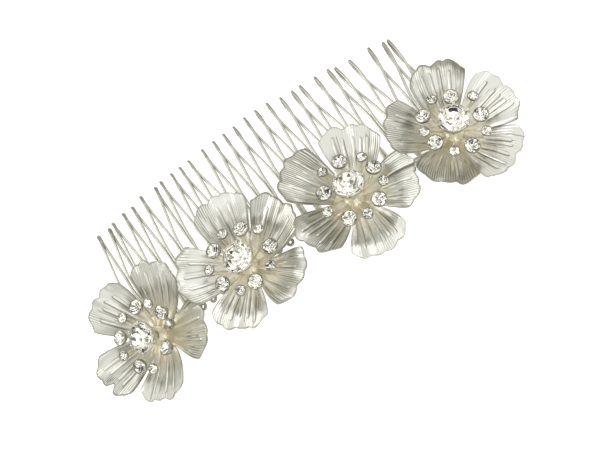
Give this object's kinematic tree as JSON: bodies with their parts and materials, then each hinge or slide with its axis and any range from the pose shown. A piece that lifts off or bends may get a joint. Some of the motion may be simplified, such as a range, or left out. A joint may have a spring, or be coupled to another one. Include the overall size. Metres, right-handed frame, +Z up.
{
  "type": "decorative hair comb",
  "caption": "Bowed wire hair comb with metal flowers along its spine, each with a crystal centre and a ring of crystal stamens; it holds and dresses the hair.",
  "frame": {"origin": "on the surface that the comb lies on, under the middle of its bounding box", "axes": "+X along the comb's length, +Y towards the tooth tips, +Z up, the way the flowers face"},
  "size_m": [0.1408, 0.06, 0.0254],
  "materials": {
    "wire_metal": "satin silver plated wire",
    "binding_wire": "satin silver plated fine wire",
    "petal_metal": "satin silver plated stamped sheet",
    "fitting_metal": "satin silver plated",
    "setting_metal": "bright silver plated",
    "crystal": "clear faceted crystal with a foiled back"
  },
  "bodies": {
    "root": {"teeth": "wire_metal", "end_loops": "wire_metal", "spine_front": "wire_metal", "spine_back": "wire_metal", "end_wraps": "binding_wire", "flower_1_petals": "petal_metal", "flower_1_back_plate": "fitting_metal", "flower_1_saddle": "fitting_metal", "flower_1_post": "fitting_metal", "flower_1_stamens": "fitting_metal", "flower_1_center_setting": "setting_metal", "flower_1_center_stone": "crystal", "flower_1_medium_cups": "setting_metal", "flower_1_medium_stones": "crystal", "flower_1_small_cups": "setting_metal", "flower_1_small_stones": "crystal", "flower_2_petals": "petal_metal", "flower_2_back_plate": "fitting_metal", "flower_2_saddle": "fitting_metal", "flower_2_post": "fitting_metal", "flower_2_stamens": "fitting_metal", "flower_2_center_setting": "setting_metal", "flower_2_center_stone": "crystal", "flower_2_medium_cups": "setting_metal", "flower_2_medium_stones": "crystal", "flower_2_small_cups": "setting_metal", "flower_2_small_stones": "crystal", "flower_3_petals": "petal_metal", "flower_3_back_plate": "fitting_metal", "flower_3_saddle": "fitting_metal", "flower_3_post": "fitting_metal", "flower_3_stamens": "fitting_metal", "flower_3_center_setting": "setting_metal", "flower_3_center_stone": "crystal", "flower_3_medium_cups": "setting_metal", "flower_3_medium_stones": "crystal", "flower_3_small_cups": "setting_metal", "flower_3_small_stones": "crystal", "flower_4_petals": "petal_metal", "flower_4_back_plate": "fitting_metal", "flower_4_saddle": "fitting_metal", "flower_4_post": "fitting_metal", "flower_4_stamens": "fitting_metal", "flower_4_center_setting": "setting_metal", "flower_4_center_stone": "crystal", "flower_4_medium_cups": "setting_metal", "flower_4_medium_stones": "crystal", "flower_4_small_cups": "setting_metal", "flower_4_small_stones": "crystal"}
  },
  "joints": []
}
